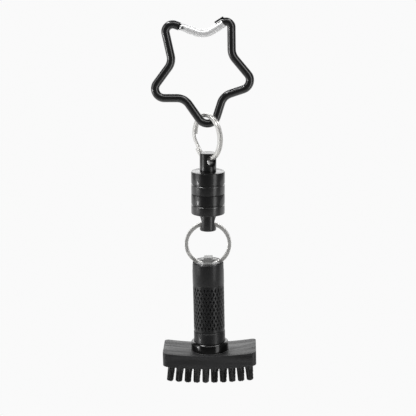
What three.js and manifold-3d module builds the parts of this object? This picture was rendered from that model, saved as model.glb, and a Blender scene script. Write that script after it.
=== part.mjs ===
// Club groove brush: a star carabiner, a magnetic coupling hung between two split rings,
// and a knurled handle with an arched brush head.
// Millimetres, +Z up. Heights count up from the lowest bristle tips, and each piece stands on or
// hangs from the next: bristles, head, handle, lower ring, coupling, upper ring, star.
// The finished group is lowered so that its origin is where a bag's ring holds the star.

import * as THREE from 'three';
import { mergeVertices } from 'three/addons/utils/BufferGeometryUtils.js';
import Module from 'manifold-3d';

const wasm = await Module();
wasm.setup();

// ---------------------------------------------------------------- driving dimensions

const RUNNING_GAP = 0.3;               // between a piece and what it turns or sits in

// Star carabiner, bent from one rod. Corners are where the straight runs would meet, in its own
// drawing, which is lifted until the star's bottom bend sits in the upper ring.
const DRAWN_HANG_HEIGHT = 149;         // where the bag's ring sits under the gate
const ROD_RADIUS = 1.8;
const DRAWN_STAR_CORNERS = [
  { x: -18.7, z: 156.6, bend: 3.0 },   // upper left point
  { x: -14.9, z: 139.3, bend: 6.0 },   // left hollow
  { x: -25.9, z: 124.3, bend: 3.9 },   // left point
  { x: -9.85, z: 124.3, bend: 6.0 },   // lower left hollow
  { x: 1.15, z: 108.4, bend: 4.1 },    // bottom point, where the split ring hangs
  { x: 6.4, z: 125.2, bend: 6.0 },     // lower right hollow
  { x: 20.3, z: 129.9, bend: 4.0 },    // right point
  { x: 9.85, z: 142.4, bend: 6.5 },    // right hollow
  { x: 9.6, z: 158.0, bend: 2.3 },     // upper right point, the nose
];
const ROD_STEPS = 116;
const ROD_SIDES = 12;

// Gate, hinged at the upper left, closing on the nose
const GATE_RADIUS = 1.675;
const DRAWN_GATE_CORNER = { x: -1.2, z: 150.4, bend: 7.7 };
const RIVET_X = -10.6;
const RIVET_RADIUS = 0.55;
const RIVET_HEAD_RADIUS = 0.95;
const RIVET_HEAD_HEIGHT = 0.2;
const RIVET_CLEARANCE = 0.08;
const TANG_THICKNESS = 1.3;
const TANG_RADIUS = 1.3;
const TANG_FLAT = 1.0;                 // rivet centre to the flat that faces the plunger
const SHOULDER_RADIUS = 2.0;           // hollow end of the rod, round the gate's rounded end
const SLOT_LENGTH = 2.1;               // rivet centre to the end of the gate's slot
const SPRING_BORE_RADIUS = 0.85;
const SPRING_BORE_END = 6.1;           // rivet centre to the end of the bore
const PLUNGER_RADIUS = 0.5;
const PLUNGER_LENGTH = 1.7;
const PLUNGER_TRAVEL = 0.4;
const PLUNGER_CLEARANCE = 0.05;        // tang's round to the plunger's face
const SPRING_COIL_RADIUS = 0.42;
const SPRING_WIRE_RADIUS = 0.12;
const SPRING_TURNS = 4;
const NOSE_GAP = 0.35;
const NOSE_REACH = 3.75;               // from the nose corner back to the rod's end face
const LIP_LENGTH = 3.2;
const LIP_THICKNESS = 0.7;
const LIP_WIDTH = 2.2;

// Split rings: two flat coils of wire side by side
const RING_OUTER_RADIUS = 9.85;
const WIRE_RADIAL = 1.4;
const COIL_THICKNESS = 0.9;
const COIL_GAP = 0.1;
const RING_CROSSOVER = 40;             // degrees over which the wire steps to its other coil
const RING_STEPS = 60;
const UPPER_RING_PLAY = 0.9;           // rod surface to the underside of the ring's top wire
const UPPER_RING_TURN = 35;            // degrees from -Y towards +X
const LOWER_RING_HANG = 0.75;          // cross hole's centre down to the ring's top wire

// Magnetic coupling: two turned halves, each with a post, a groove and a magnet
const COUPLING_RADIUS = 7.17;
const SEAM_GAP = 0.1;
const COUPLING_UPPER_HEIGHT = 9.6;
const COUPLING_LOWER_HEIGHT = 8.7;
const COUPLING_EDGE = 0.35;
const UPPER_GROOVE_OFFSET = 4.9;       // seam to groove
const LOWER_GROOVE_OFFSET = 3.9;
const GROOVE_WIDTH = 0.5;
const GROOVE_DEPTH = 0.45;
const POST_RADIUS = 3.53;
const POST_EDGE = 0.4;
const UPPER_POST_LENGTH = 7.9;
const LOWER_POST_LENGTH = 7.5;
const POST_HOLE_PLAY = 1.35;           // ring's wire, lying in the middle, to the hole's wall
const UPPER_HOLE_FROM_END = 3.05;
const LOWER_HOLE_FROM_END = 3.7;
const COUNTERSINK_WIDTH = 0.55;
const COUNTERSINK_DEPTH = 0.9;
const UPPER_HOLE_TURN = 33;            // degrees from -Y towards +X, near the upper ring's
const MAGNET_RADIUS = 4.85;
const MAGNET_HEIGHT = 2.8;
const MAGNET_RECESS = 0.3;

// Handle: a tube with a plug in its top, which carries the eye for the lower ring
const HANDLE_RADIUS = 6.8;
const HANDLE_LENGTH = 39;
const HANDLE_BEVEL = 0.6;
const HANDLE_WALL = 2.2;
const PLUG_WALL = 1.5;                 // handle's surface to the plug's
const PLUG_HEIGHT = 7.0;
const HANDLE_FOOT_LENGTH = 8.5;        // plain part below the knurl
const KNURL_LENGTH = 21.2;
const KNURL_DROP = 0.1;                // the knurl's crests lie this far inside the plain tube
const RELIEF_WIDTH = 0.5;
const RELIEF_DEPTH = 0.45;
const HANDLE_TILT = -1.2;              // degrees about Y, as the handle hangs
const HANDLE_YAW = -1.5;               // degrees about its own axis
const EYE_WIDTH = 3.85;
const EYE_DEPTH = 4.6;
const EYE_HEIGHT = 3.2;
const EYE_CHAMFER = 0.7;
const RING_IN_EYE = 0.95;              // handle's top face down to the middle of the ring's wire
const EYE_SLOT_SIDE_PLAY = 0.4;        // ring's wire to the slot's wall, each side
const EYE_SLOT_PLAY_ABOVE = 0.7;
const EYE_SLOT_PLAY_BELOW = 0.95;
const EYE_SLOT_FLARE = 0.6;

// Collar at the foot of the handle
const COLLAR_WALL = 1.3;               // handle's surface to the collar's
const COLLAR_HEIGHT = 3.85;
const COLLAR_CHAMFER = 0.8;

// Brush head: a block bent on a large arc, ends up
const ARCH_RADIUS = 146;               // of the bristle tips, which is the height of the arc's centre
const HEAD_LENGTH = 40.5;
const HEAD_DEPTH = 18.8;
const HEAD_THICKNESS = 5.9;
const HEAD_CORNER = 2.0;               // upright corners
const HEAD_FOOT_EDGE = 1.3;            // rounded lower end edges
const HEAD_PAD_MARGIN = 0.2;           // collar's surface to the pad's
const HEAD_PAD_RISE = 0.35;
const COLLAR_SEAT_GAP = 0.1;
const HANDLE_SEAT_GAP = 0.25;
const SPIGOT_HEIGHT = 8.0;             // of the moulded peg inside the handle's bore

// Bristle tufts
const BRISTLE_LENGTH = 7.4;            // tips to the head's underside
const TUFT_COLUMNS = 10;
const TUFT_ROWS = 4;
const COLUMN_PITCH = 3.9;
const ROW_PITCH = 4.1;
const TUFT_RADIUS = 1.6;
const TUFT_TIP_RADIUS = 1.3;
const TUFT_TIP_EDGE = 0.3;
const TUFT_ROOT_RADIUS = 1.1;
const TUFT_HOLE_DEPTH = 3.2;
const TUFT_SIDES = 8;

// ---------------------------------------------------------------- sizes and heights that follow

const HEAD_BOTTOM = BRISTLE_LENGTH;
const HEAD_TOP = HEAD_BOTTOM + HEAD_THICKNESS;          // at the middle
const HEAD_PAD_TOP = HEAD_TOP + HEAD_PAD_RISE;
const COLLAR_BOTTOM = HEAD_PAD_TOP + COLLAR_SEAT_GAP;
const COLLAR_TOP = COLLAR_BOTTOM + COLLAR_HEIGHT;
const COLLAR_RADIUS = HANDLE_RADIUS + COLLAR_WALL;
const HEAD_PAD_RADIUS = COLLAR_RADIUS + HEAD_PAD_MARGIN;

const HANDLE_BOTTOM = HEAD_PAD_TOP + HANDLE_SEAT_GAP;
const HANDLE_TOP = HANDLE_BOTTOM + HANDLE_LENGTH;
const HANDLE_BORE_RADIUS = HANDLE_RADIUS - HANDLE_WALL;
const PLUG_RADIUS = HANDLE_RADIUS - PLUG_WALL;
const KNURL_BOTTOM = HANDLE_BOTTOM + HANDLE_FOOT_LENGTH;
const KNURL_TOP = KNURL_BOTTOM + KNURL_LENGTH;
const EYE_SLOT_WIDTH = 2 * COIL_THICKNESS + COIL_GAP + 2 * EYE_SLOT_SIDE_PLAY;
const EYE_SLOT_ROOF = WIRE_RADIAL / 2 + EYE_SLOT_PLAY_ABOVE - RING_IN_EYE;
const EYE_SLOT_DEPTH = WIRE_RADIAL / 2 + EYE_SLOT_PLAY_BELOW + RING_IN_EYE;

const ringMiddle = RING_OUTER_RADIUS - WIRE_RADIAL / 2;
const lowerRingBottom = HANDLE_TOP - RING_IN_EYE;
const lowerRingHeight = lowerRingBottom + ringMiddle;
const lowerRingTop = lowerRingHeight + ringMiddle;

const POST_HOLE_RADIUS = WIRE_RADIAL / 2 + POST_HOLE_PLAY;
const COUNTERSINK_RADIUS = POST_HOLE_RADIUS + COUNTERSINK_WIDTH;
const lowerHoleHeight = lowerRingTop + LOWER_RING_HANG;
const COUPLING_SEAM = lowerHoleHeight - LOWER_HOLE_FROM_END + LOWER_POST_LENGTH + COUPLING_LOWER_HEIGHT;
const couplingTop = COUPLING_SEAM + SEAM_GAP / 2 + COUPLING_UPPER_HEIGHT + UPPER_POST_LENGTH;
const upperHoleHeight = couplingTop - UPPER_HOLE_FROM_END;

// The ring's wire rises by this much on its way from the middle of the post to its surface
const riseInPost = ringMiddle - Math.sqrt(ringMiddle ** 2 - POST_RADIUS ** 2);
const upperRingBottom = upperHoleHeight + POST_HOLE_RADIUS - WIRE_RADIAL / 2 - riseInPost;
const upperRingHeight = upperRingBottom + ringMiddle;
const upperRingTop = upperRingHeight + ringMiddle;

// Place of the rod's centreline in the middle of the drawing's bottom bend
function drawnBottomBend() {
  const [left, point, right] = DRAWN_STAR_CORNERS.slice(3, 6);
  const toLeft = new THREE.Vector2(left.x - point.x, left.z - point.z).normalize();
  const toRight = new THREE.Vector2(right.x - point.x, right.z - point.z).normalize();
  const halfAngle = Math.acos(toLeft.dot(toRight)) / 2;
  const middle = toLeft.add(toRight).normalize();
  const reach = point.bend / Math.sin(halfAngle);
  return { x: point.x + middle.x * reach, z: point.z + middle.y * reach - point.bend };
}

const bottomBend = drawnBottomBend();
const starLift = upperRingTop - WIRE_RADIAL / 2 - UPPER_RING_PLAY - ROD_RADIUS - bottomBend.z;
const lifted = (corner) => ({ ...corner, z: corner.z + starLift });
const STAR_CORNERS = DRAWN_STAR_CORNERS.map(lifted);
const GATE_CORNER = lifted(DRAWN_GATE_CORNER);
const HANG_HEIGHT = DRAWN_HANG_HEIGHT + starLift;

// ---------------------------------------------------------------- finishes

const finish = (color, roughness, metalness) =>
  new THREE.MeshStandardMaterial({ color, roughness, metalness });
const glossBlackAnodising = () => finish(0x0b0b0c, 0.18, 0.6);
const satinBlackAnodising = () => finish(0x161617, 0.35, 0.6);
const polishedAluminium = () => finish(0xe4e5e6, 0.15, 1.0);
const nickelPlate = () => finish(0xc2c1be, 0.22, 1.0);
const springSteel = () => finish(0x8d8f92, 0.3, 1.0);
const bareSteel = () => finish(0x9c9c9b, 0.35, 1.0);
const glossBlackPlastic = () => finish(0x101010, 0.25, 0.0);
const mattBlackPlastic = () => finish(0x2c2c2d, 0.55, 0.0);
const blackNylon = () => finish(0x141414, 0.6, 0.0);

// ---------------------------------------------------------------- solids

const degrees = THREE.MathUtils.degToRad;

function toSolid(geometry) {
  const bare = geometry.index ? geometry.toNonIndexed() : geometry.clone();
  bare.deleteAttribute('normal');
  bare.deleteAttribute('uv');
  const merged = mergeVertices(bare, 1e-4);
  return new wasm.Manifold(new wasm.Mesh({
    numProp: 3,
    vertProperties: new Float32Array(merged.attributes.position.array),
    triVerts: new Uint32Array(merged.index.array),
  }));
}

function toGeometry(solid) {
  const mesh = solid.getMesh();
  const geometry = new THREE.BufferGeometry();
  geometry.setAttribute('position', new THREE.BufferAttribute(mesh.vertProperties, 3));
  geometry.setIndex(new THREE.BufferAttribute(mesh.triVerts, 1));
  geometry.computeVertexNormals();
  return geometry;
}

function part(name, geometry, material) {
  const mesh = new THREE.Mesh(geometry, material);
  mesh.name = name;
  return mesh;
}

// A solid of revolution about Z. The profile is a list of [radius, z] from the bottom up.
function revolve(profile, segments) {
  const points = profile.map(([radius, z]) => new THREE.Vector2(radius, z));
  return new THREE.LatheGeometry(points, segments).rotateX(Math.PI / 2);
}

function block(width, depth, height) {
  return new THREE.BoxGeometry(width, depth, height);
}

// A round bar lying along +X from x = 0
function barAlongX(radius, length, sides) {
  const bar = new THREE.CylinderGeometry(radius, radius, length, sides);
  return bar.rotateZ(-Math.PI / 2).translate(length / 2, 0, 0);
}

function barAlongY(radius, length, sides) {
  return new THREE.CylinderGeometry(radius, radius, length, sides);
}

function polygonShape(radius, sides) {
  const points = [];
  for (let i = 0; i < sides; i += 1) {
    const angle = i * 2 * Math.PI / sides;
    points.push(new THREE.Vector2(radius * Math.cos(angle), radius * Math.sin(angle)));
  }
  return new THREE.Shape(points);
}

// Straight runs in the XZ plane joined by arcs. The first and last corners are its ends.
class BentRod extends THREE.Curve {
  constructor(corners) {
    super();
    this.pieces = [];
    let from = new THREE.Vector2(corners[0].x, corners[0].z);
    for (let i = 1; i < corners.length; i += 1) {
      const corner = new THREE.Vector2(corners[i].x, corners[i].z);
      if (i === corners.length - 1) {
        this.addLine(from, corner);
        break;
      }
      const next = new THREE.Vector2(corners[i + 1].x, corners[i + 1].z);
      const into = corner.clone().sub(from).normalize();
      const out = next.clone().sub(corner).normalize();
      const turn = Math.atan2(into.x * out.y - into.y * out.x, into.dot(out));
      const reach = corners[i].bend * Math.tan(Math.abs(turn) / 2);
      const arcStart = corner.clone().addScaledVector(into, -reach);
      this.addLine(from, arcStart);
      this.addArc(arcStart, into, turn, corners[i].bend);
      from = corner.clone().addScaledVector(out, reach);
    }
    this.total = this.pieces.reduce((sum, piece) => sum + piece.length, 0);
  }

  addLine(from, to) {
    const length = from.distanceTo(to);
    this.pieces.push({ length, at: (s) => from.clone().lerp(to, s / length) });
  }

  addArc(start, direction, turn, radius) {
    const side = Math.sign(turn);
    const centre = new THREE.Vector2(-direction.y, direction.x).multiplyScalar(side * radius).add(start);
    const first = Math.atan2(start.y - centre.y, start.x - centre.x);
    const at = (s) => {
      const angle = first + side * s / radius;
      return new THREE.Vector2(Math.cos(angle), Math.sin(angle)).multiplyScalar(radius).add(centre);
    };
    this.pieces.push({ length: Math.abs(turn) * radius, at });
  }

  getPoint(t, target = new THREE.Vector3()) {
    let s = t * this.total;
    let index = 0;
    while (index < this.pieces.length - 1 && s > this.pieces[index].length) {
      s -= this.pieces[index].length;
      index += 1;
    }
    const point = this.pieces[index].at(Math.min(s, this.pieces[index].length));
    return target.set(point.x, 0, point.y);
  }
}

function bendRod(corners, radius, sides, steps) {
  return new THREE.ExtrudeGeometry(polygonShape(radius, sides), {
    steps,
    bevelEnabled: false,
    extrudePath: new BentRod(corners),
  });
}

// ---------------------------------------------------------------- star carabiner

const upperLeft = STAR_CORNERS[0];
const noseCorner = STAR_CORNERS[STAR_CORNERS.length - 1];

const gateLine = new THREE.Vector2(GATE_CORNER.x - upperLeft.x, GATE_CORNER.z - upperLeft.z).normalize();
const gateAngle = Math.atan2(gateLine.y, gateLine.x);
const rivet = {
  x: RIVET_X,
  z: upperLeft.z + (RIVET_X - upperLeft.x) * gateLine.y / gateLine.x,
};

// The gate's outer run and the nose lie along the same slope
const noseLine = new THREE.Vector2(noseCorner.x - GATE_CORNER.x, noseCorner.z - 0.6 - GATE_CORNER.z).normalize();
const noseAngle = Math.atan2(noseLine.y, noseLine.x);
const noseEnd = {
  x: noseCorner.x - NOSE_REACH * noseLine.x,
  z: noseCorner.z - NOSE_REACH * noseLine.y,
};

// Moves a geometry from the rivet's own frame, with +X along the gate, to its place
function atRivet(geometry) {
  return geometry.rotateY(-gateAngle).translate(rivet.x, 0, rivet.z);
}

function atNose(geometry) {
  return geometry.rotateY(-noseAngle).translate(noseEnd.x, 0, noseEnd.z);
}

function carabinerFrame() {
  const rodStart = { x: rivet.x, z: rivet.z };
  const rod = toSolid(bendRod([rodStart, ...STAR_CORNERS, noseEnd], ROD_RADIUS, ROD_SIDES, ROD_STEPS));
  const shoulder = barAlongY(SHOULDER_RADIUS, 4 * ROD_RADIUS, 24);
  const beyond = block(SHOULDER_RADIUS * 2, 4 * ROD_RADIUS, 4 * ROD_RADIUS).translate(SHOULDER_RADIUS, 0, 0);
  const tangEye = barAlongY(TANG_RADIUS, TANG_THICKNESS, 16);
  const tangBar = block(3, TANG_THICKNESS, 2 * TANG_RADIUS).translate(-1.5, 0, 0);
  const flat = block(2, 2 * TANG_THICKNESS, 4 * TANG_RADIUS).translate(TANG_FLAT + 1, 0, 0);
  const tang = toSolid(atRivet(tangEye)).add(toSolid(atRivet(tangBar))).subtract(toSolid(atRivet(flat)));
  const hole = barAlongY(RIVET_RADIUS + RIVET_CLEARANCE, 2 * TANG_THICKNESS, 12);
  const lip = block(LIP_LENGTH + 1, LIP_WIDTH, LIP_THICKNESS);
  const lipRise = GATE_RADIUS + RUNNING_GAP + LIP_THICKNESS / 2;
  const gateDrop = (noseEnd.x - GATE_CORNER.x) * noseLine.y - (noseEnd.z - GATE_CORNER.z) * noseLine.x;
  lip.translate(-(LIP_LENGTH - 1) / 2, 0, lipRise + gateDrop);
  const frame = rod
    .subtract(toSolid(atRivet(shoulder)))
    .subtract(toSolid(atRivet(beyond)))
    .add(tang)
    .subtract(toSolid(atRivet(hole)))
    .add(toSolid(atNose(lip)));
  return toGeometry(frame);
}

function gateRod() {
  const end = {
    x: GATE_CORNER.x + noseLine.x * gateReach(),
    z: GATE_CORNER.z + noseLine.y * gateReach(),
  };
  return bendRod([rivet, GATE_CORNER, end], GATE_RADIUS, ROD_SIDES, 18);
}

// Distance along the outer run from the gate's corner to its free end
function gateReach() {
  const toNose = new THREE.Vector2(noseEnd.x - GATE_CORNER.x, noseEnd.z - GATE_CORNER.z);
  return toNose.dot(noseLine) - NOSE_GAP;
}

function carabinerGate() {
  const roundEnd = new THREE.SphereGeometry(GATE_RADIUS, 12, 8);
  const slotWidth = TANG_THICKNESS + 2 * RUNNING_GAP;
  const slot = block(SLOT_LENGTH + 3, slotWidth, 4 * GATE_RADIUS).translate((SLOT_LENGTH - 3) / 2, 0, 0);
  const hole = barAlongY(RIVET_RADIUS + RIVET_CLEARANCE, 4 * GATE_RADIUS, 12);
  const bore = barAlongX(SPRING_BORE_RADIUS, SPRING_BORE_END, 10);
  const gate = toSolid(gateRod())
    .add(toSolid(atRivet(roundEnd)))
    .subtract(toSolid(atRivet(slot)))
    .subtract(toSolid(atRivet(hole)))
    .subtract(toSolid(atRivet(bore)));
  return toGeometry(gate);
}

function gateRivet() {
  const half = GATE_RADIUS + 0.02;
  const profile = [
    [0, -half - RIVET_HEAD_HEIGHT],
    [RIVET_HEAD_RADIUS * 0.75, -half - RIVET_HEAD_HEIGHT],
    [RIVET_HEAD_RADIUS, -half],
    [RIVET_RADIUS, -half],
    [RIVET_RADIUS, half],
    [RIVET_HEAD_RADIUS, half],
    [RIVET_HEAD_RADIUS * 0.75, half + RIVET_HEAD_HEIGHT],
    [0, half + RIVET_HEAD_HEIGHT],
  ];
  return atRivet(revolve(profile, 12).rotateX(Math.PI / 2));
}

const plungerStart = TANG_RADIUS + PLUNGER_CLEARANCE;

function gatePlunger() {
  return atRivet(barAlongX(PLUNGER_RADIUS, PLUNGER_LENGTH, 10).translate(plungerStart, 0, 0));
}

class SpringHelix extends THREE.Curve {
  getPoint(t, target = new THREE.Vector3()) {
    const angle = t * SPRING_TURNS * 2 * Math.PI;
    const start = plungerStart + PLUNGER_LENGTH + PLUNGER_TRAVEL + 2 * SPRING_WIRE_RADIUS;
    const length = SPRING_BORE_END - RUNNING_GAP - start;
    const y = SPRING_COIL_RADIUS * Math.cos(angle);
    return target.set(start + t * length, y, SPRING_COIL_RADIUS * Math.sin(angle));
  }
}

function gateSpring() {
  const coil = new THREE.ExtrudeGeometry(polygonShape(SPRING_WIRE_RADIUS, 5), {
    steps: SPRING_TURNS * 10,
    bevelEnabled: false,
    extrudePath: new SpringHelix(),
  });
  return atRivet(coil);
}

// ---------------------------------------------------------------- split rings

// Wire's path in the ring's own frame: the ring stands in the XZ plane round the origin.
// It runs once round in the near coil, steps across, and runs once round in the far coil.
class SplitRingPath extends THREE.Curve {
  angleAt(t) {
    const crossover = degrees(RING_CROSSOVER);
    return crossover / 2 + t * (4 * Math.PI - crossover);
  }

  getPoint(t, target = new THREE.Vector3()) {
    const angle = this.angleAt(t);
    const step = COIL_THICKNESS + COIL_GAP;
    const across = THREE.MathUtils.smoothstep(angle, 2 * Math.PI - degrees(RING_CROSSOVER) / 2,
      2 * Math.PI + degrees(RING_CROSSOVER) / 2);
    return target.set(ringMiddle * Math.cos(angle), step * (across - 0.5), ringMiddle * Math.sin(angle));
  }

  getPointAt(u, target) {
    return this.getPoint(u, target);
  }

  // The flat wire keeps facing outwards all the way round
  computeFrenetFrames(segments) {
    const frames = { tangents: [], normals: [], binormals: [] };
    for (let i = 0; i <= segments; i += 1) {
      const angle = this.angleAt(i / segments);
      frames.tangents.push(new THREE.Vector3(-Math.sin(angle), 0, Math.cos(angle)));
      frames.normals.push(new THREE.Vector3(Math.cos(angle), 0, Math.sin(angle)));
      frames.binormals.push(new THREE.Vector3(0, 1, 0));
    }
    return frames;
  }
}

function splitRing(turn, startAngle, x, z) {
  const r = WIRE_RADIAL / 2;
  const h = COIL_THICKNESS / 2;
  const edge = 0.25;
  const section = new THREE.Shape([
    new THREE.Vector2(r - edge, -h), new THREE.Vector2(r, -h + edge),
    new THREE.Vector2(r, h - edge), new THREE.Vector2(r - edge, h),
    new THREE.Vector2(-r + edge, h), new THREE.Vector2(-r, h - edge),
    new THREE.Vector2(-r, -h + edge), new THREE.Vector2(-r + edge, -h),
  ]);
  const ring = new THREE.ExtrudeGeometry(section, {
    steps: RING_STEPS,
    bevelEnabled: false,
    extrudePath: new SplitRingPath(),
  });
  return ring.rotateY(-degrees(startAngle)).rotateZ(degrees(turn)).translate(x, 0, z);
}

// ---------------------------------------------------------------- magnetic coupling

// One half with its mating face at z = 0, its post pointing up, and its hole along X
function couplingHalf(bodyHeight, postLength, grooveOffset, holeFromEnd) {
  const groove = [
    [COUPLING_RADIUS, grooveOffset - GROOVE_WIDTH / 2 - GROOVE_DEPTH / 2],
    [COUPLING_RADIUS - GROOVE_DEPTH, grooveOffset - GROOVE_WIDTH / 2],
    [COUPLING_RADIUS - GROOVE_DEPTH, grooveOffset + GROOVE_WIDTH / 2],
    [COUPLING_RADIUS, grooveOffset + GROOVE_WIDTH / 2 + GROOVE_DEPTH / 2],
  ];
  const pocketRadius = MAGNET_RADIUS + RUNNING_GAP;
  const pocketDepth = MAGNET_RECESS + MAGNET_HEIGHT + RUNNING_GAP;
  const top = bodyHeight + postLength;
  const profile = [
    [0, pocketDepth],
    [pocketRadius, pocketDepth],
    [pocketRadius, 0],
    [COUPLING_RADIUS - COUPLING_EDGE / 2, 0],
    [COUPLING_RADIUS, COUPLING_EDGE / 2],
    ...groove,
    [COUPLING_RADIUS, bodyHeight - COUPLING_EDGE],
    [COUPLING_RADIUS - COUPLING_EDGE, bodyHeight],
    [POST_RADIUS, bodyHeight],
    [POST_RADIUS, top - POST_EDGE],
    [POST_RADIUS - POST_EDGE, top],
    [0, top],
  ];
  const holeHeight = top - holeFromEnd;
  const hole = barAlongX(POST_HOLE_RADIUS, 4 * POST_RADIUS, 20).translate(-2 * POST_RADIUS, 0, holeHeight);
  const sinkLength = COUNTERSINK_DEPTH + 1;
  const sinkMouth = POST_HOLE_RADIUS + (COUNTERSINK_RADIUS - POST_HOLE_RADIUS) * sinkLength / COUNTERSINK_DEPTH;
  let half = toSolid(revolve(profile, 36)).subtract(toSolid(hole));
  for (const side of [-1, 1]) {
    const sink = new THREE.CylinderGeometry(sinkMouth, POST_HOLE_RADIUS, sinkLength, 20);
    sink.rotateZ(-side * Math.PI / 2);
    sink.translate(side * (POST_RADIUS - COUNTERSINK_DEPTH + sinkLength / 2), 0, holeHeight);
    half = half.subtract(toSolid(sink));
  }
  return half;
}

function couplingUpper() {
  const half = couplingHalf(COUPLING_UPPER_HEIGHT, UPPER_POST_LENGTH, UPPER_GROOVE_OFFSET, UPPER_HOLE_FROM_END);
  return toGeometry(half)
    .rotateZ(degrees(UPPER_HOLE_TURN - 90))
    .translate(0, 0, COUPLING_SEAM + SEAM_GAP / 2);
}

function couplingLower() {
  const half = couplingHalf(COUPLING_LOWER_HEIGHT, LOWER_POST_LENGTH, LOWER_GROOVE_OFFSET, LOWER_HOLE_FROM_END);
  return toGeometry(half).rotateX(Math.PI).translate(0, 0, COUPLING_SEAM - SEAM_GAP / 2);
}

function magnet(side) {
  const disc = new THREE.CylinderGeometry(MAGNET_RADIUS, MAGNET_RADIUS, MAGNET_HEIGHT, 28);
  const offset = SEAM_GAP / 2 + MAGNET_RECESS + MAGNET_HEIGHT / 2;
  return disc.rotateX(Math.PI / 2).translate(0, 0, COUPLING_SEAM + side * offset);
}

// ---------------------------------------------------------------- handle

// The ring's slot runs across the top along X, under the eye, with flared upper edges
function ringSlot() {
  const floor = HANDLE_TOP - EYE_SLOT_DEPTH;
  const roof = HANDLE_TOP + EYE_SLOT_ROOF;
  return block(4 * HANDLE_RADIUS, EYE_SLOT_WIDTH, roof - floor).translate(0, 0, (roof + floor) / 2);
}

function slotFlare(side) {
  const y = EYE_SLOT_WIDTH / 2;
  const outline = new THREE.Shape([
    new THREE.Vector2(-y - EYE_SLOT_FLARE - 1, HANDLE_TOP + 1),
    new THREE.Vector2(-y, HANDLE_TOP - EYE_SLOT_FLARE),
    new THREE.Vector2(y, HANDLE_TOP - EYE_SLOT_FLARE),
    new THREE.Vector2(y + EYE_SLOT_FLARE + 1, HANDLE_TOP + 1),
  ]);
  const length = 2 * HANDLE_RADIUS;
  const flare = new THREE.ExtrudeGeometry(outline, { depth: length, bevelEnabled: false });
  flare.rotateX(Math.PI / 2).rotateZ(Math.PI / 2);
  return flare.translate(side > 0 ? EYE_WIDTH / 2 : -EYE_WIDTH / 2 - length, 0, 0);
}

function handleTube() {
  const seat = HANDLE_TOP - PLUG_HEIGHT - RUNNING_GAP;
  const crest = HANDLE_RADIUS - KNURL_DROP;
  const counterbore = PLUG_RADIUS + RUNNING_GAP;
  const profile = [
    [HANDLE_BORE_RADIUS, HANDLE_BOTTOM],
    [HANDLE_RADIUS, HANDLE_BOTTOM],
    [HANDLE_RADIUS, KNURL_BOTTOM - RELIEF_DEPTH],
    [HANDLE_RADIUS - RELIEF_DEPTH, KNURL_BOTTOM],
    [HANDLE_RADIUS - RELIEF_DEPTH, KNURL_BOTTOM + RELIEF_WIDTH],
    [crest, KNURL_BOTTOM + RELIEF_WIDTH],
    [crest, KNURL_TOP],
    [HANDLE_RADIUS, KNURL_TOP],
    [HANDLE_RADIUS, HANDLE_TOP - HANDLE_BEVEL],
    [HANDLE_RADIUS - HANDLE_BEVEL, HANDLE_TOP],
    [counterbore, HANDLE_TOP],
    [counterbore, seat],
    [HANDLE_BORE_RADIUS, seat],
    [HANDLE_BORE_RADIUS, HANDLE_BOTTOM],
  ];
  return toGeometry(
    toSolid(revolve(profile, 36))
      .subtract(toSolid(ringSlot()))
      .subtract(toSolid(slotFlare(1)))
      .subtract(toSolid(slotFlare(-1))),
  );
}

function eyeOutline() {
  const half = EYE_WIDTH / 2;
  const top = HANDLE_TOP + EYE_HEIGHT;
  return new THREE.Shape([
    new THREE.Vector2(-half, HANDLE_TOP - 1),
    new THREE.Vector2(half, HANDLE_TOP - 1),
    new THREE.Vector2(half, top - EYE_CHAMFER / 2),
    new THREE.Vector2(half - EYE_CHAMFER / 2, top),
    new THREE.Vector2(-half + EYE_CHAMFER, top),
    new THREE.Vector2(-half, top - 2 * EYE_CHAMFER),
  ]);
}

function handleEyePlug() {
  const disc = new THREE.CylinderGeometry(PLUG_RADIUS, PLUG_RADIUS, PLUG_HEIGHT, 32);
  disc.rotateX(Math.PI / 2).translate(0, 0, HANDLE_TOP - PLUG_HEIGHT / 2);
  const eye = new THREE.ExtrudeGeometry(eyeOutline(), { depth: EYE_DEPTH, bevelEnabled: false });
  eye.rotateX(Math.PI / 2).translate(0, EYE_DEPTH / 2, 0);
  return toGeometry(
    toSolid(disc)
      .subtract(toSolid(slotFlare(1)))
      .subtract(toSolid(slotFlare(-1)))
      .add(toSolid(eye))
      .subtract(toSolid(ringSlot())),
  );
}

function collar() {
  const bore = HANDLE_RADIUS + RUNNING_GAP / 2;
  const profile = [
    [bore, COLLAR_BOTTOM],
    [COLLAR_RADIUS, COLLAR_BOTTOM],
    [COLLAR_RADIUS, COLLAR_TOP - COLLAR_CHAMFER],
    [COLLAR_RADIUS - COLLAR_CHAMFER, COLLAR_TOP],
    [bore, COLLAR_TOP],
    [bore, COLLAR_BOTTOM],
  ];
  return revolve(profile, 36);
}

// ---------------------------------------------------------------- brush head

const columnAngle = (column) => (column - (TUFT_COLUMNS - 1) / 2) * COLUMN_PITCH / ARCH_RADIUS;
const rowPlace = (row) => (row - (TUFT_ROWS - 1) / 2) * ROW_PITCH;

// Turns a piece that stands under the arc's middle round the arc's centre to its column
function ontoArch(geometry, angle, y) {
  return geometry.translate(0, y, -ARCH_RADIUS).rotateY(-angle).translate(0, 0, ARCH_RADIUS);
}

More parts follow.
